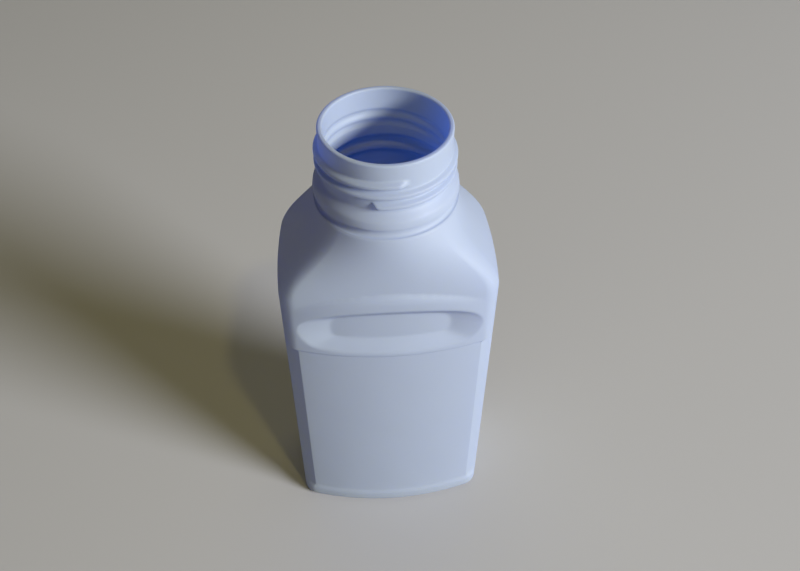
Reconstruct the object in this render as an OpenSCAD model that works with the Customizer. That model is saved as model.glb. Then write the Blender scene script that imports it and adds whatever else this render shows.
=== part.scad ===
// Blow-moulded oblong bottle with an open screw neck, a label panel and a finger
// recess on its front and back. Millimetres, +Z up, width along X, front towards -Y.
// The origin is the middle of the base, on the surface that the bottle stands on.

/* [Body] */
// Width of the body, from side to side
body_w = 63; // [52:0.5:80]
// Depth of the body, from front to back
body_d = 44; // [43:0.5:56]
// Height of the straight body, from the floor to the start of the shoulder
body_h = 102; // [80:1:160]
// Height of the shoulder, from the straight body to the neck
shoulder_h = 24.5; // [18:0.5:40]
// Thickness of the moulded wall
wall = 1.2; // [0.8:0.1:1.8]
// How far the middle of the front and back bows out past their edges
face_bow = 4.8; // [2:0.2:7]
// Radius of the bow of the two narrow sides
side_r = 150; // [90:10:400]
// Radius of the four upright corners
corner_r = 5.5; // [4:0.5:8]

/* [Base] */
// Radius of the heel, where the body turns in to the base
heel_r = 2; // [1:0.25:3]
// Width of the flat ring that the bottle stands on
stand_w = 3; // [2:0.25:4]
// Height of the hollow in the middle of the base
hollow_h = 1.8; // [0.5:0.1:3]

/* [Label panel] */
// Depth of the label panel
panel_depth = 0.5; // [0.2:0.05:0.8]
// Height of the panel's lower edge above the floor
panel_low = 4.5; // [4:0.5:12]
// Distance from the panel's upper edge to the finger recess
panel_gap = 1.2; // [1:0.1:4]
// Direction that the chamfers beside the panel face, from +X
chamfer_turn = 50; // [40:1:60]

/* [Finger recess] */
// Height of the recess
grip_h = 17.6; // [14:0.2:24]
// Height of its arched upper part, over its widest place
grip_arch_h = 9.9; // [8:0.1:11]
// Depth of the recess
grip_depth = 2.7; // [1:0.1:3.4]
// Distance from the side of the body to the end of the recess
grip_side = 4.9; // [4.5:0.1:12]
// Length of the sloping end of the recess
grip_end_w = 9.3; // [4:0.1:12]
// Radius of the curve of that end, seen from the front
grip_end_r = 6; // [5:0.5:20]
// Height of the recess's upper wall
grip_top_w = 3.7; // [3:0.1:6]
// Height of the recess's lower wall
grip_low_w = 4.1; // [3:0.1:6]
// Distance from the top of the recess to the start of the shoulder
grip_top_gap = 0.6; // [0.2:0.1:4]

/* [Brow over the recess] */
// How far the front of the shoulder stands behind the brow
brow_depth = 1.2; // [0.4:0.1:1.6]
// Distance from the top of the recess to the top of the brow
brow_gap = 5.5; // [4:0.5:9]
// Height over which the brow rounds over to the front
brow_h = 3.2; // [2:0.2:5]
// Radius of the brow's arch
brow_r = 56; // [35:1:90]

/* [Neck] */
// Outer diameter of the neck at the smooth land over the thread
land_d = 34.8; // [30:0.2:36]
// Thickness of the neck's wall at the mouth
neck_wall = 1.4; // [1:0.1:2]
// Height of the smooth land, from the rim to the thread
land_h = 4.5; // [2:0.25:6]
// How far the collar stands out past the land
collar_out = 2.25; // [2:0.05:2.6]
// Height of the collar's upright face
collar_face_h = 1.8; // [1:0.1:3]
// Height of the slope from the collar up to the land
collar_slope_h = 3; // [2:0.1:5]
// Depth of the groove between the collar and the shoulder
groove_depth = 1; // [0.4:0.05:1.2]
// Height of the groove
groove_h = 2.6; // [2.2:0.1:4]
// How far the foot of the neck flares out under the groove
root_out = 0.95; // [0.4:0.05:1.1]
// Height of that flare
flare_h = 1.3; // [0.8:0.1:1.4]
// Radius of the rim's rounded edges
rim_r = 0.4; // [0.2:0.05:0.45]

/* [Thread] */
// Number of thread starts
thread_starts = 1; // [1:1:3]
// Distance between neighbouring ridges, along the neck
thread_pitch = 3.175; // [2.9:0.025:4.5]
// Width of a ridge at its foot
thread_w = 2.35; // [1.8:0.05:2.6]
// Width of a ridge's crest
thread_crest_w = 0.9; // [0.6:0.1:1.4]
// Height of a ridge above the land
thread_depth = 1.3; // [0.8:0.1:1.6]
// Angle that each ridge goes round the neck
thread_sweep = 747; // [270:1:800]
// Direction of the first ridge's upper end, from +X
thread_end = -73; // [-180:1:180]
// Gap between the lowest ridge and the slope of the collar
thread_gap = 0.6; // [0.2:0.1:2]

/* [Hidden] */
bottle_colour = [0.73, 0.77, 0.85];

// Steps along one quarter of the outline: narrow side, corner, and front or back
side_steps = 2;
corner_steps = 4;
face_steps = 11;
quarter = side_steps + corner_steps + face_steps;
// Directions of the corner's two ends on the round neck
corner_from = 26;
corner_to = 50;

// Outline of the body, before the recess and the panel
half_body_w = body_w / 2;
half_body_d = body_d / 2;
face_half = half_body_w - heel_r;
face_r = (face_half ^ 2 + face_bow ^ 2) / (2 * face_bow);

// Neck, from the rim down: land, thread, gap, collar and groove
thread_lead = thread_pitch * thread_starts;
thread_fall = thread_lead * thread_sweep / 360;
face_top = groove_h + collar_face_h;
collar_h = face_top + collar_slope_h;
neck_h = land_h + thread_w + thread_fall + thread_gap + collar_h;
root_z = body_h + shoulder_h;
rim_z = root_z + neck_h;
land_r = land_d / 2;
bore_r = land_r - neck_wall;
collar_r = land_r + collar_out;
groove_r = collar_r - groove_depth;
root_r = groove_r + root_out;
// The collar leans in by this much up to its slope, and its lower edge is broken by this much
collar_taper = 0.2;
collar_edge = 0.3;
// Height of the fillet under the collar
undercut_h = 0.6;
flare_steps = 2;
slope_steps = 4;
// How far the middle of the rim's rounded edge stands in from a sharp one, in rim radii
rim_cut = 0.3;
// The neck's foot stays this far inside the shoulder's top, which is a polygon
seat_inset = 0.03;
// The ridges reach this far into the neck's wall
thread_sink = 0.5;
thread_step = 12;
// Angle over which a ridge rises at each end, and its shares of height and width at the tip
thread_run_in = 9;
thread_tip_depth = 0.05;
thread_tip_w = 0.6;

// Recess: its outline is an ellipse above its widest place, and fuller below
grip_top = body_h - grip_top_gap;
grip_low = grip_top - grip_h;
grip_z = grip_top - grip_arch_h;
grip_down = grip_h - grip_arch_h;
grip_half_w = half_body_w - grip_side;
arch_power = 2;
low_power = 4;

brow_z = grip_top + brow_gap;

// Panel: heights of the step at its upper edge and of the gentler one at its lower edge
panel_top = grip_low - panel_gap;
panel_step = 0.9;
panel_low_step = 2.5;
face_end = face_edge();
panel_half_w = face_end[0];
chamfer_way = [cos(chamfer_turn), sin(chamfer_turn)];
chamfer_reach = chamfer_way * (face_end - [0, panel_depth]);

// Exponents of how fast the shoulder grows forward, and turns from round to oblong
forward_power = 8;
round_power = 2.4;

grip_rows = 12;
brow_rows = 5;
shoulder_rows = 7;
heel_rows = 3;
inner_grip_rows = 5;
inner_brow_rows = 2;
inner_shoulder_rows = 4;
hollow_slope_w = 3;

function mix(from, to, share) = from + (to - from) * share;
function limit(value) = min(max(value, 0), 1);
function ease(value) = let(s = limit(value)) s * s * (3 - 2 * s);

// Centre of a corner's arc, which touches the arcs of the side and of the front
function corner_centre(a, b, corner, side, face) =
    let(
        from_side = side - corner,
        from_face = face - corner,
        across = [side - a, b - face],
        gap = norm(across),
        along = (from_side ^ 2 - from_face ^ 2 + gap ^ 2) / (2 * gap),
        out = sqrt(from_side ^ 2 - along ^ 2),
        unit = across / gap
    )
    [a - side, 0] + along * unit + out * [-unit[1], unit[0]];

// Where the front's arc ends at the corner
function face_edge() =
    let(
        centre = corner_centre(half_body_w, half_body_d, corner_r, side_r, face_r),
        way = centre - [0, half_body_d - face_r]
    )
    [0, half_body_d - face_r] + way * face_r / norm(way);

function arc(centre, radius, from, to, share) =
    let(angle = mix(from, to, share)) centre + radius * [cos(angle), sin(angle)];

// One quarter of the oblong outline, a wall's thickness t inside the outer skin
function oblong_quarter(t) =
    let(
        a = half_body_w - t,
        b = half_body_d - t,
        corner = corner_r - t,
        side = side_r - t,
        face = face_r - t,
        centre = corner_centre(a, b, corner, side, face),
        from = atan2(centre[1], centre[0] - a + side),
        to = atan2(centre[1] - b + face, centre[0])
    )
    [
        for (i = [0 : side_steps - 1]) arc([a - side, 0], side, 0, from, i / side_steps),
        for (i = [0 : corner_steps - 1]) arc(centre, corner, from, to, i / corner_steps),
        for (i = [0 : face_steps - 1]) arc([0, b - face], face, to, 90, i / face_steps)
    ];

// The matching quarter of a circle of radius 1
round_quarter = [
    for (i = [0 : side_steps - 1]) arc([0, 0], 1, 0, corner_from, i / side_steps),
    for (i = [0 : corner_steps - 1]) arc([0, 0], 1, corner_from, corner_to, i / corner_steps),
    for (i = [0 : face_steps - 1]) arc([0, 0], 1, corner_to, 90, i / face_steps)
];

// A whole outline from its quarter, counter-clockwise from +X
function whole(q, top) = [
    for (i = [0 : quarter - 1]) q[i],
    [0, top],
    for (i = [quarter - 1 : -1 : 1]) [-q[i][0], q[i][1]],
    for (i = [0 : quarter - 1]) -q[i],
    [0, -top],
    for (i = [quarter - 1 : -1 : 1]) [q[i][0], -q[i][1]]
];

outer_outline = whole(oblong_quarter(0), half_body_d);
inner_outline = whole(oblong_quarter(wall), half_body_d - wall);
round_outline = whole(round_quarter, 1);
points_round = len(round_outline);

// Share of the way down the shoulder: 0 at the neck, 1 on the straight body
function way_down(z) = limit((root_z - z) / shoulder_h);
function half_w(z) = mix(root_r, half_body_w, ease(way_down(z)));
function forward_share(z) = 1 - (1 - way_down(z)) ^ forward_power;
function half_d(z) = mix(root_r, half_body_d, forward_share(z));
function roundness(z) = (1 - way_down(z)) ^ round_power;

// How far the shoulder's front stands back behind the brow
function brow_cut(x, z) =
    let(
        top = brow_z - x ^ 2 / (2 * brow_r),
        roll = sqrt(1 - limit(1 - (top - z) / brow_h) ^ 2)
    )
    brow_depth * limit(1 - (x / grip_half_w) ^ 2) * (1 - roll) * forward_share(z);

// Height of the recess's outline over or under its widest place
function outline_rise(x, most, power) = most * (1 - limit(abs(x / grip_half_w)) ^ power) ^ (1 / power);

// Depth of the finger recess at a place on the front: steep walls and two sloping ends
function grip_dent(x, z) =
    let(
        top = grip_z + outline_rise(x, grip_arch_h, arch_power),
        low = grip_z - outline_rise(x, grip_down, low_power),
        end = grip_half_w - (z - grip_z) ^ 2 / (2 * grip_end_r)
    )
    grip_depth * limit(min((top - z) / grip_top_w, (z - low) / grip_low_w, (end - abs(x)) / grip_end_w));

// 1 at the heights of the label panel
function panel_share(z) =
    limit((z - panel_low) / panel_low_step) * limit((panel_top - z) / panel_step);

// A place on the skin, pressed in by the panel, the recess, the brow and the chamfers
function pressed(x, y, z, t) =
    let(
        share = panel_share(z),
        on_panel = abs(x) <= panel_half_w,
        dent = grip_dent(x, z) + brow_cut(x, z) + (on_panel ? panel_depth * share : 0),
        face_y = abs(y) - dent,
        past = max(0, [abs(x), face_y] * chamfer_way - chamfer_reach + t),
        over = on_panel ? 0 : past * share
    )
    [sign(x) * (abs(x) - over * chamfer_way[0]), sign(y) * (face_y - over * chamfer_way[1]), z];

// A ring of the skin: its height, its depth under the outer skin, and its inset on the base
function ring(z, t = 0, inset = 0) =
    let(
        up = min(z + t / 2, root_z),
        a = half_w(up) - t,
        b = half_d(up) - t,
        outline = t > 0 ? inner_outline : outer_outline,
        k = roundness(up)
    )
    [for (i = [0 : points_round - 1])
        let(
            x = mix(outline[i][0] / (half_body_w - t), round_outline[i][0], k) * (a - inset),
            y = mix(outline[i][1] / (half_body_d - t), round_outline[i][1], k) * (b - inset)
        )
        pressed(x, y, z, t)
    ];

// Heights of the rings from the panel to the neck
function side_heights(grips, brows, shoulders) = [
    panel_low,
    panel_low + panel_low_step,
    panel_top - panel_step,
    panel_top,
    for (i = [0 : grips]) mix(grip_low, grip_top, i / grips),
    for (i = [1 : brows]) mix(grip_top, brow_z, i / brows),
    for (i = [1 : shoulders]) mix(brow_z, root_z, i / shoulders)
];

base_flat_in = heel_r + stand_w;
hollow_in = base_flat_in + hollow_slope_w;
inner_heights = side_heights(inner_grip_rows, inner_brow_rows, inner_shoulder_rows);

// The skin in order: hollow of the base, heel, outside, then down the inside to the floor
skin = [
    ring(hollow_h, 0, hollow_in),
    ring(0, 0, base_flat_in),
    for (i = [0 : heel_rows])
        let(turn = 90 * i / heel_rows) ring(heel_r * (1 - cos(turn)), 0, heel_r * (1 - sin(turn))),
    for (z = side_heights(grip_rows, brow_rows, shoulder_rows)) ring(z),
    for (i = [len(inner_heights) - 1 : -1 : 0]) ring(inner_heights[i], wall),
    ring(wall + heel_r, wall),
    ring(wall, wall, heel_r),
    ring(wall + hollow_h, wall, hollow_in)
];

function flat(rings) = [for (r = rings) for (p = r) p];

// Triangles of a skin of rings that is closed by a flat face at its first and last ring
function skin_faces(rings, around) = [
    [for (i = [0 : around - 1]) i],
    for (row = [0 : rings - 2])
        for (i = [0 : around - 1])
            let(j = (i + 1) % around, low = row * around, high = low + around)
            each [[low + i, high + i, high + j], [low + i, high + j, low + j]],
    [for (i = [around - 1 : -1 : 0]) (rings - 1) * around + i]
];

module body_and_shoulder() {
    polyhedron(points = flat(skin), faces = skin_faces(len(skin), points_round), convexity = 8);
}

// The neck's section: up its outside from the foot to the rim, then down its inside
module neck() {
    wall_at_collar = collar_r - collar_taper - wall;
    translate([0, 0, root_z])
        rotate_extrude($fn = 64)
            polygon([
                [root_r - seat_inset, 0],
                for (i = [1 : flare_steps])
                    let(turn = 90 * i / flare_steps)
                    [root_r - root_out * sin(turn), flare_h * (1 - cos(turn))],
                [groove_r, groove_h - undercut_h],
                [collar_r - collar_edge, groove_h],
                [collar_r, groove_h + collar_edge],
                for (i = [0 : slope_steps])
                    let(share = i / slope_steps)
                    [mix(collar_r - collar_taper, land_r, ease(share)), mix(face_top, collar_h, share)],
                [land_r, neck_h - rim_r],
                [land_r - rim_r * rim_cut, neck_h - rim_r * rim_cut],
                [land_r - rim_r, neck_h],
                [bore_r + rim_r / 2, neck_h],
                [bore_r, neck_h - rim_r / 2],
                [bore_r, collar_h],
                [wall_at_collar, face_top],
                [wall_at_collar, groove_h],
                [groove_r - wall, flare_h],
                [root_r - wall + seat_inset, 0]
            ]);
}

// One section of a ridge at an angle from the ridge's upper end
function thread_section(angle) =
    let(
        near_end = min(angle, thread_sweep - angle) / thread_run_in,
        rise = mix(thread_tip_depth, 1, limit(near_end)),
        z = rim_z - land_h - thread_w / 2 - thread_lead * angle / 360,
        foot = land_r - thread_sink,
        crest = land_r + thread_depth * rise,
        way = [cos(thread_end - angle), sin(thread_end - angle)],
        half = thread_w / 2 * mix(thread_tip_w, 1, limit(near_end)),
        half_crest = thread_crest_w / 2
    )
    [for (p = [[foot, -half], [crest, -half_crest], [crest, half_crest], [foot, half]])
        [p[0] * way[0], p[0] * way[1], z + p[1]]
    ];

module thread_ridge() {
    steps = ceil(thread_sweep / thread_step);
    rings = [for (i = [0 : steps]) thread_section(thread_sweep * i / steps)];
    polyhedron(points = flat(rings), faces = skin_faces(len(rings), 4), convexity = 4);
}

module bottle() {
    color(bottle_colour)
        union() {
            body_and_shoulder();
            neck();
            for (start = [0 : thread_starts - 1])
                rotate(360 * start / thread_starts)
                    thread_ridge();
        }
}

bottle();
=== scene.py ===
"""An empty bottle of pale blue plastic on a plain pale floor, seen from above its front.

The bottle is one moulded shell: hollow base, oblong body, shoulder, neck with its thread,
and the inside down to the floor. Sizes are in millimetres and are drawn in metres.
"""

import bpy
import numpy as np
from mathutils import Matrix, Vector


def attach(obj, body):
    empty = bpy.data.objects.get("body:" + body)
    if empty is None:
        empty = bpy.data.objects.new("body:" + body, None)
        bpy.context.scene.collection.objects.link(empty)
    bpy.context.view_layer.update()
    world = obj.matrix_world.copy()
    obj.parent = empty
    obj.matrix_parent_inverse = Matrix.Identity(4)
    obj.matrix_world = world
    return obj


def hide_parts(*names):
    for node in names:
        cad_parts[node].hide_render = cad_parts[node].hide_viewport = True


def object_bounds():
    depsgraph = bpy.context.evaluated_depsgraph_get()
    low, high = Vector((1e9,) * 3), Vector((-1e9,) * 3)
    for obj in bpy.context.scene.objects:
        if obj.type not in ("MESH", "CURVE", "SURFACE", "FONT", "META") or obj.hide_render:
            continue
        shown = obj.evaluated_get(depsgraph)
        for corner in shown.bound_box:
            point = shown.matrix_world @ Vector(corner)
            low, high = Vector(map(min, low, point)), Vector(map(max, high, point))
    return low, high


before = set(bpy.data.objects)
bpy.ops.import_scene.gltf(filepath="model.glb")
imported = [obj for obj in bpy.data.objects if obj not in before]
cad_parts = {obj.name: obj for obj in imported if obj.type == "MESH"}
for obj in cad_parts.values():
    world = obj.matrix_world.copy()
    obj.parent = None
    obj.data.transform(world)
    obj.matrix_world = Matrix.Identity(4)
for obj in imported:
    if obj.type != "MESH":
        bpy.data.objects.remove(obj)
cad_low, cad_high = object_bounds()

MM = 0.001

# Body: width and depth come from the frame, the rest is the moulded form
body_w = (cad_high.x - cad_low.x) / MM
body_d = (cad_high.y - cad_low.y) / MM
rim_z = cad_high.z / MM
body_h = 102.0
shoulder_h = 24.5
wall = 1.2
face_bow = 4.8
side_r = 150.0
corner_r = 5.5
lip = 1.2
lip_h = 3.2
lip_z = 106.9
lip_arch_r = 56.0
heel_r = 2.0
stand_w = 3.0
hollow_h = 1.8
hollow_slope_w = 3.0
shoulder_flare = 8
shoulder_round = 1.9

# Label panel and finger recess, front and back
panel_depth = 0.5
panel_low = 4.5
panel_top = 82.6
panel_step = 0.9
panel_low_step = 2.5
panel_corner_r = 0.6
panel_chamfer_deg = 50.0
chamfer_run = 1.2
grip_z = 91.5
grip_up = 9.9
grip_down = 7.7
grip_half_w = 26.6
grip_depth = 2.7
grip_end_w = 9.3
grip_end_r = 6.0
grip_top_w = 3.7
grip_low_w = 4.1
grip_round = 0.05
grip_blend = 0.08

# Neck and thread
land_d = 34.8
neck_wall = 1.4
land_h = 4.5
collar_out = 2.25
collar_face_h = 1.8
collar_slope_h = 3.5
collar_edge_r = 0.35
collar_slope_in = 0.2
groove_h = 2.6
groove_depth = 1.0
groove_round_h = 0.9
flare_h = 1.3
root_out = 0.95
rim_r = 0.5
thread_starts = 1
thread_pitch = 3.175
thread_w = 2.35
thread_crest_w = 0.9
thread_depth = 1.3
thread_sweep = 750.0
thread_end = -73.0
thread_run_in = 10.0
thread_run_out = 3.0
thread_skew = 2.8
thread_round = 0.3
inside_groove = 0.4

half_w = body_w / 2
half_d = body_d / 2
face_half = half_w - heel_r
face_r = (face_half ** 2 + face_bow ** 2) / (2 * face_bow)
root_z = body_h + shoulder_h
neck_h = rim_z - root_z
land_r = land_d / 2
bore_r = land_r - neck_wall
collar_r = land_r + collar_out
groove_r = collar_r - groove_depth
root_r = groove_r + root_out
thread_lead = thread_pitch * thread_starts

# Steps along one quarter of the outline, and the directions of a corner's ends on the neck
SIDE_STEPS, CORNER_STEPS, FACE_STEPS = 10, 15, 42
CORNER_FROM, CORNER_TO = np.radians(26), np.radians(50)

# Steps between rings in millimetres, finer outside than inside, and in degrees round an edge
FORM_STEP, SHOULDER_STEP, THREAD_STEP = 0.55, 0.9, 0.17
INNER_FORM_STEP, INNER_SHOULDER_STEP, BORE_STEP = 1.6, 2.0, 0.32
PLAIN_STEP = 15.0
HEEL_TURN, EDGE_TURN = 11, 15
HOLLOW_SHARES = (0.12, 0.4, 0.7, 1.0)


def mix(low, high, share):
    return low + (high - low) * share


def limit(value):
    return np.clip(value, 0.0, 1.0)


def ease(value):
    s = limit(value)
    return s * s * (3 - 2 * s)


def soft_ramp(value, rounding):
    """A straight ramp from 0 to 1 whose two corners are rounded over that share of it."""
    s = np.clip(value, -rounding, 1 + rounding)
    low = np.where(s < rounding, (s + rounding) ** 2 / (4 * rounding), s)
    high = 1 - (1 + rounding - s) ** 2 / (4 * rounding)
    return np.where(s > 1 - rounding, high, low)


def corner_centre(a, b, corner, side, face):
    """Centre of a corner's arc, which touches the arcs of the side and of the front."""
    start, across = np.array([a - side, 0.0]), np.array([side - a, b - face])
    gap = np.hypot(*across)
    along = ((side - corner) ** 2 - (face - corner) ** 2 + gap ** 2) / (2 * gap)
    out = np.sqrt((side - corner) ** 2 - along ** 2)
    unit = across / gap
    return start + along * unit + out * np.array([-unit[1], unit[0]])


def arc(centre, radius, start, end, shares):
    angle = mix(start, end, shares)
    return np.stack([centre[0] + radius * np.cos(angle), centre[1] + radius * np.sin(angle)], -1)


def whole(quarter, top):
    """A whole outline from its quarter, counter-clockwise from +X."""
    top = np.array([[0.0, top]])
    left = (quarter * [-1, 1])[:0:-1]
    right = (quarter * [1, -1])[:0:-1]
    return np.concatenate([quarter, top, left, -quarter, -top, right])


def shares(steps):
    return np.arange(steps) / steps


def face_shares():
    """Steps along the front, closer together at its edge, where the panel steps in."""
    even = shares(FACE_STEPS)
    return even * mix(0.35, 1.0, even ** 0.5)


def oblong(inside):
    """The oblong outline, that far inside the outer skin."""
    a, b, corner = half_w - inside, half_d - inside, corner_r - inside
    side, face = side_r - inside, face_r - inside
    centre = corner_centre(a, b, corner, side, face)
    start = np.arctan2(centre[1], centre[0] - a + side)
    end = np.arctan2(centre[1] - b + face, centre[0])
    quarter = np.concatenate([
        arc((a - side, 0), side, 0, start, shares(SIDE_STEPS)),
        arc(centre, corner, start, end, shares(CORNER_STEPS)),
        arc((0, b - face), face, end, np.pi / 2, face_shares()),
    ])
    return whole(quarter, b)


round_outline = whole(np.concatenate([
    arc((0, 0), 1, 0, CORNER_FROM, shares(SIDE_STEPS)),
    arc((0, 0), 1, CORNER_FROM, CORNER_TO, shares(CORNER_STEPS)),
    arc((0, 0), 1, CORNER_TO, np.pi / 2, face_shares()),
]), 1)
AROUND = len(round_outline)
azimuth = np.degrees(np.arctan2(round_outline[:, 1], round_outline[:, 0]))
edge = oblong(0)[SIDE_STEPS + CORNER_STEPS]
panel_half_w = edge[0]


def way_down(z):
    """Share of the way down the shoulder: 0 at the neck, 1 on the straight body."""
    return limit((root_z - z) / shoulder_h)


def width_at(z):
    return mix(root_r, half_w, ease(way_down(z)))


def depth_at(z):
    return mix(root_r, half_d, shoulder_share(z))


def shoulder_share(z):
    """How much of its full depth the shoulder has: it flares out just under the neck."""
    return 1 - (1 - way_down(z)) ** shoulder_flare


def lip_cut(x, z):
    """How far the shoulder's front stands back behind the brow over the recess."""
    brow_z = lip_z - x ** 2 / (2 * lip_arch_r)
    roll = np.sqrt(1 - limit(1 - (brow_z - z) / lip_h) ** 2)
    return lip * limit(1 - (x / grip_half_w) ** 2) * (1 - roll) * shoulder_share(z)


def grip_dent(x, z):
    """Depth of the finger recess at a place on the front: steep walls and two sloping ends."""
    along = limit(abs(x / grip_half_w))
    top = grip_z + grip_up * np.sqrt(1 - along ** 2)
    low = grip_z - grip_down * (1 - along ** 4) ** 0.25
    end = grip_half_w - (z - grip_z) ** 2 / (2 * grip_end_r)
    walls = np.stack([(top - z) / grip_top_w, (z - low) / grip_low_w, (end - abs(x)) / grip_end_w])
    lowest = walls.min(axis=0)
    share = lowest - grip_blend * np.log(np.exp((lowest - walls) / grip_blend).sum(axis=0))
    return grip_depth * soft_ramp(share, grip_round)


def panel_share(x, z):
    """1 on the label panel, 0 outside it; its upper corners are round."""
    past = limit((abs(x) - panel_half_w + panel_corner_r) / panel_corner_r)
    top = panel_top - panel_corner_r * (1 - np.sqrt(1 - past ** 2))
    return ease((z - panel_low) / panel_low_step) * ease((top - z) / panel_step)


def chamfer_share(z):
    """1 where the chamfers beside the panel have their full width; they start at its top."""
    return ease((z - panel_low) / panel_low_step) * ease((panel_top - z) / chamfer_run)


def body_ring(z, inside=0.0, inset=0.0):
    """A ring of the body's skin: its height, its depth under the outer skin, its inset."""
    up = min(z + inside / 2, root_z)
    roundness = (1 - way_down(up)) ** shoulder_round
    sizes = np.array([width_at(up), depth_at(up)]) - inside
    unit = mix(oblong(inside) / [half_w - inside, half_d - inside], round_outline, roundness)
    x, y = (unit * (sizes - inset)).T
    side_x, side_y = np.sign(x), np.sign(y)
    sunk = panel_depth * panel_share(x, z) * (abs(x) <= panel_half_w)
    y = y - side_y * (grip_dent(x, z) + lip_cut(x, z) + sunk)
    turn = np.radians(panel_chamfer_deg)
    cut_x, cut_y = np.cos(turn), np.sin(turn)
    cut_at = panel_half_w * cut_x + (edge[1] - panel_depth) * cut_y - inside
    over = np.maximum(abs(x) * cut_x + abs(y) * cut_y - cut_at, 0) * chamfer_share(z)
    x, y = x - side_x * over * cut_x, y - side_y * over * cut_y
    return np.stack([x, y, np.full(AROUND, z)], -1)


def thread_rise(z, around=azimuth):
    """Height of the thread's ridges, as a share of their full height, round the neck."""
    rise = np.zeros_like(around)
    for start in range(thread_starts):
        for turn in range(3):
            swept = (thread_end + 360 * start / thread_starts - around) % 360 + 360 * turn
            centre = rim_z - land_h - thread_w / 2 - thread_lead * swept / 360
            slope = (thread_w - thread_crest_w) / 2
            ridge = soft_ramp((thread_w / 2 - abs(z - centre)) / slope, thread_round)
            last = thread_sweep + thread_skew * (z - centre)
            ends = ease(swept / thread_run_in) * ease((last - swept) / thread_run_out)
            rise = np.maximum(rise, ridge * ends)
    return rise


def round_ring(radius, z):
    """A ring of the neck, with one radius or with one for each of its points."""
    flat = round_outline * np.reshape(radius, (-1, 1))
    return np.concatenate([flat, np.full((AROUND, 1), z)], -1)


def neck_profile():
    """Radius and height over the root of the neck's outside: groove, collar, then the land."""
    turn = np.radians(np.arange(0, 91, EDGE_TURN))
    sine, fall = np.sin(turn), 1 - np.cos(turn)
    face_z = groove_h + collar_face_h
    share = np.arange(1, 13) / 12
    parts = [
        (root_r - root_out * sine, flare_h * fall),
        (groove_r + (groove_depth - collar_edge_r) * fall, groove_h - groove_round_h * (1 - sine)),
        (collar_r - collar_edge_r * (1 - sine), groove_h + collar_edge_r * fall),
        (mix(collar_r - collar_slope_in, land_r, ease(share)), face_z + share * collar_slope_h),
    ]
    return np.concatenate([np.stack(part, -1) for part in parts])


def bore_radius(up):
    """Radius of the neck's inside, which follows the collar and the groove."""
    heights = np.array([-0.3, 0.9, 1.8, 2.8, 4.2, 7.2])
    outside = np.array([root_r, groove_r, groove_r, collar_r - 0.2, collar_r - 0.3])
    radii = np.append(outside - wall, bore_r)
    up = np.clip(up, heights[0], heights[-1])
    place = np.clip(np.searchsorted(heights, up), 1, len(heights) - 1)
    share = (up - heights[place - 1]) / (heights[place] - heights[place - 1])
    return mix(radii[place - 1], radii[place], ease(share))


def spread(low, high, step):
    """Evenly spaced values from low to high, about that step apart."""
    return np.linspace(low, high, max(2, int(round((high - low) / step)) + 1))


def body_heights(fine, coarse):
    """Heights of the body's rings, closer together where the form changes."""
    parts = [
        spread(panel_low, panel_low + panel_low_step, fine),
        spread(panel_low + 5, panel_top - 5, PLAIN_STEP),
        spread(panel_top - panel_corner_r - panel_step, panel_top + 0.3, fine / 3),
        spread(panel_top + 0.6, lip_z + 0.3, fine),
        spread(lip_z + 1.0, root_z, coarse),
    ]
    return np.concatenate(parts)


def shell_rings():
    """Rings of the whole skin: under the base, up the outside, over the rim, down the inside."""
    stand_in = heel_r + stand_w
    hollow_in = stand_in + hollow_slope_w
    rings = []
    for share in HOLLOW_SHARES:
        ring = body_ring(0.0, 0.0, hollow_in) * share
        ring[:, 2] = hollow_h
        rings.append(ring)
    for share in spread(0.1, 1.0, 0.15):
        rings.append(body_ring(hollow_h * (1 - ease(share)), 0, mix(hollow_in, stand_in, share)))
    for turn in np.radians(spread(0, 90, HEEL_TURN)):
        rings.append(body_ring(heel_r * (1 - np.cos(turn)), 0, heel_r * (1 - np.sin(turn))))
    rings += [body_ring(z) for z in body_heights(FORM_STEP, SHOULDER_STEP)]
    profile = neck_profile()
    rings += [round_ring(radius, root_z + up) for radius, up in profile]
    for z in spread(root_z + profile[-1][1] + 0.1, rim_z - rim_r, THREAD_STEP):
        rings.append(round_ring(land_r + thread_depth * thread_rise(z), z))
    outer_edge, inner_edge = land_r - rim_r, bore_r + rim_r
    for turn in np.radians(spread(EDGE_TURN, 90, EDGE_TURN)):
        rings.append(round_ring(outer_edge + rim_r * np.cos(turn),
                                rim_z - rim_r * (1 - np.sin(turn))))
    for turn in np.radians(spread(90, 180 - EDGE_TURN, EDGE_TURN)):
        rings.append(round_ring(inner_edge + rim_r * np.cos(turn),
                                rim_z - rim_r * (1 - np.sin(turn))))
    for z in spread(root_z + 0.2, rim_z - rim_r, BORE_STEP)[::-1]:
        rings.append(round_ring(bore_radius(z - root_z) + inside_groove * thread_rise(z), z))
    heights = body_heights(INNER_FORM_STEP, INNER_SHOULDER_STEP)
    rings += [body_ring(z, wall) for z in heights[heights > wall + heel_r][::-1]]
    for turn in np.radians(spread(90 - EDGE_TURN, 0, EDGE_TURN)):
        rings.append(body_ring(wall + heel_r * (1 - np.cos(turn)), wall,
                               heel_r * (1 - np.sin(turn))))
    for share in spread(0.1, 1.0, 0.15):
        rings.append(body_ring(wall + hollow_h * ease(share), wall,
                               mix(stand_in - wall, hollow_in, share)))
    for share in HOLLOW_SHARES[-2::-1]:
        ring = body_ring(wall, wall, hollow_in) * share
        ring[:, 2] = wall + hollow_h
        rings.append(ring)
    return rings


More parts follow.
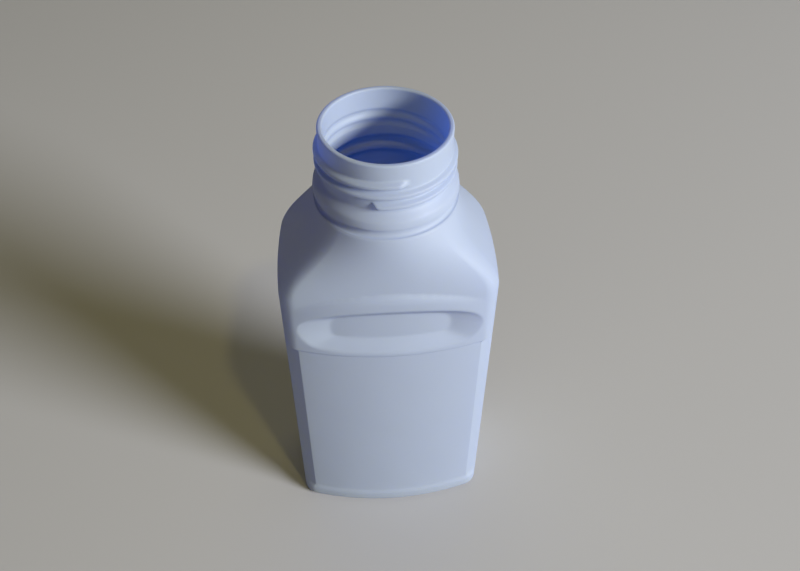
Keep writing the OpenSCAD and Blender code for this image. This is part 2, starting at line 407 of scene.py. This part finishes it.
def make_shell():
    """The skin's rings joined by quads, and closed by a face under the base and one inside."""
    rings = shell_rings()
    points = np.concatenate(rings) * MM
    along = np.arange(AROUND)
    nxt = (along + 1) % AROUND
    faces = []
    for row in range(len(rings) - 1):
        low, high = row * AROUND, (row + 1) * AROUND
        faces += np.stack([low + along, low + nxt, high + nxt, high + along], -1).tolist()
    faces.append(along[::-1].tolist())
    faces.append(((len(rings) - 1) * AROUND + along).tolist())
    mesh = bpy.data.meshes.new("bottle_shell")
    mesh.from_pydata(points.tolist(), [], faces)
    mesh.polygons.foreach_set("use_smooth", np.ones(len(faces), dtype=bool))
    mesh.update()
    shell = bpy.data.objects.new("bottle_shell", mesh)
    bpy.context.collection.objects.link(shell)
    return shell


def new_material(name):
    material = bpy.data.materials.new(name)
    material.use_nodes = True
    return material, material.node_tree.nodes, material.node_tree.links


def plastic():
    """Satin blow-moulded polyethylene that lets some blue light through its thin wall."""
    material, nodes, links = new_material("blue_plastic")
    shader = nodes["Principled BSDF"]
    place = nodes.new("ShaderNodeTexCoord")

    cloud = nodes.new("ShaderNodeTexNoise")
    cloud.inputs["Scale"].default_value = 60.0
    cloud.inputs["Detail"].default_value = 3.0
    tint = nodes.new("ShaderNodeMix")
    tint.data_type = "RGBA"
    tint.inputs["A"].default_value = (0.62, 0.695, 0.685, 1)
    tint.inputs["B"].default_value = (0.65, 0.725, 0.715, 1)
    links.new(place.outputs["Object"], cloud.inputs["Vector"])
    links.new(cloud.outputs["Fac"], tint.inputs["Factor"])
    links.new(tint.outputs["Result"], shader.inputs["Base Color"])

    # Fine mould texture over faint waves in the wall
    grain = nodes.new("ShaderNodeTexNoise")
    grain.inputs["Scale"].default_value = 2200.0
    grain.inputs["Detail"].default_value = 2.0
    waves = nodes.new("ShaderNodeTexNoise")
    waves.inputs["Scale"].default_value = 90.0
    waves.inputs["Detail"].default_value = 1.0
    fine = nodes.new("ShaderNodeBump")
    fine.inputs["Strength"].default_value = 0.25
    fine.inputs["Distance"].default_value = 0.00004
    broad = nodes.new("ShaderNodeBump")
    broad.inputs["Strength"].default_value = 0.5
    broad.inputs["Distance"].default_value = 0.0002
    links.new(place.outputs["Object"], grain.inputs["Vector"])
    links.new(place.outputs["Object"], waves.inputs["Vector"])
    links.new(grain.outputs["Fac"], fine.inputs["Height"])
    links.new(waves.outputs["Fac"], broad.inputs["Height"])
    links.new(broad.outputs["Normal"], fine.inputs["Normal"])
    links.new(fine.outputs["Normal"], shader.inputs["Normal"])

    shader.inputs["Roughness"].default_value = 0.52
    shader.inputs["IOR"].default_value = 1.5

    through = nodes.new("ShaderNodeBsdfTranslucent")
    through.inputs["Color"].default_value = (0.24, 0.43, 1.0, 1)
    both = nodes.new("ShaderNodeMixShader")
    both.inputs["Fac"].default_value = 0.42
    links.new(shader.outputs["BSDF"], both.inputs[1])
    links.new(through.outputs["BSDF"], both.inputs[2])
    links.new(both.outputs["Shader"], nodes["Material Output"].inputs["Surface"])
    return material


def floor_material():
    """A pale floor, a little darker for the light that it throws back than for the camera."""
    material, nodes, links = new_material("pale_floor")
    shader = nodes["Principled BSDF"]
    seen = nodes.new("ShaderNodeLightPath")
    tone = nodes.new("ShaderNodeMix")
    tone.data_type = "RGBA"
    tone.inputs["A"].default_value = (0.42, 0.41, 0.38, 1)
    tone.inputs["B"].default_value = (0.50, 0.495, 0.49, 1)
    links.new(seen.outputs["Is Camera Ray"], tone.inputs["Factor"])
    links.new(tone.outputs["Result"], shader.inputs["Base Color"])
    shader.inputs["Roughness"].default_value = 0.55
    return material


def make_floor():
    half = 4.0
    mesh = bpy.data.meshes.new("floor")
    corners = [(-half, -half, 0), (half, -half, 0), (half, half, 0), (-half, half, 0)]
    mesh.from_pydata(corners, [], [(0, 1, 2, 3)])
    floor = bpy.data.objects.new("floor", mesh)
    bpy.context.collection.objects.link(floor)
    mesh.materials.append(floor_material())


# The camera's place and angles, fitted to the rim, the base and the panel in the photograph
camera_at = Vector((3.96, -172.44, 269.40)) * MM
camera_down = 46.25
bottle_turn = 4.36
camera_roll = 0.45
sensor_w = 36.0
focal_px = 825.4
photo_w = 800


def make_camera():
    data = bpy.data.cameras.new("camera")
    data.sensor_width = sensor_w
    data.lens = focal_px * sensor_w / photo_w
    data.clip_start = 0.01
    camera = bpy.data.objects.new("camera", data)
    bpy.context.collection.objects.link(camera)
    turn = Matrix.Rotation(np.radians(-bottle_turn), 4, "Z")
    tilt = Matrix.Rotation(np.radians(90 - camera_down), 4, "X")
    roll = Matrix.Rotation(np.radians(camera_roll), 4, "Z")
    camera.matrix_world = turn @ Matrix.Translation(camera_at) @ tilt @ roll
    bpy.context.scene.camera = camera


def area_light(name, place, target, size, power, colour):
    """A soft oval light, with its width and height, that faces the target."""
    data = bpy.data.lights.new(name, "AREA")
    data.shape = "ELLIPSE"
    data.size, data.size_y = size
    data.energy = power
    data.color = colour
    light = bpy.data.objects.new(name, data)
    bpy.context.collection.objects.link(light)
    light.location = place
    way = Vector(place) - Vector(target)
    light.rotation_euler = way.to_track_quat("Z", "Y").to_euler()


def make_lights():
    """Cool low light from the right, a small warm one over it, and two warm soft ones."""
    middle = Vector((0, 0, 0.08))
    for name, azimuth_deg, up_deg, away, size, power, colour in (
        ("key", -33, 23, 2.5, (1.00, 0.43), 95.0, (0.89, 0.91, 1.0)),
        ("second", -62.6, 58.3, 1.5, (0.08, 0.08), 2.0, (1.0, 0.83, 0.25)),
        ("fill", -125, 18, 1.5, (1.2, 1.2), 1.6, (1.0, 0.93, 0.62)),
        ("back", 90, 60, 1.5, (1.5, 1.5), 3.3, (1.0, 0.94, 0.62)),
    ):
        turn, up = np.radians(azimuth_deg), np.radians(up_deg)
        way = Vector((np.cos(turn) * np.cos(up), np.sin(turn) * np.cos(up), np.sin(up)))
        area_light(name, middle + way * away, middle, size, power, colour)
    world = bpy.data.worlds.new("world")
    bpy.context.scene.world = world
    world.use_nodes = True
    world.node_tree.nodes["Background"].inputs["Color"].default_value = (1.0, 0.88, 0.62, 1)
    world.node_tree.nodes["Background"].inputs["Strength"].default_value = 0.02


bpy.context.scene.view_settings.view_transform = "Standard"

shell = make_shell()
shell.data.materials.append(plastic())
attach(shell, "root")
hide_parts("bottle")

make_floor()
make_camera()
make_lights()
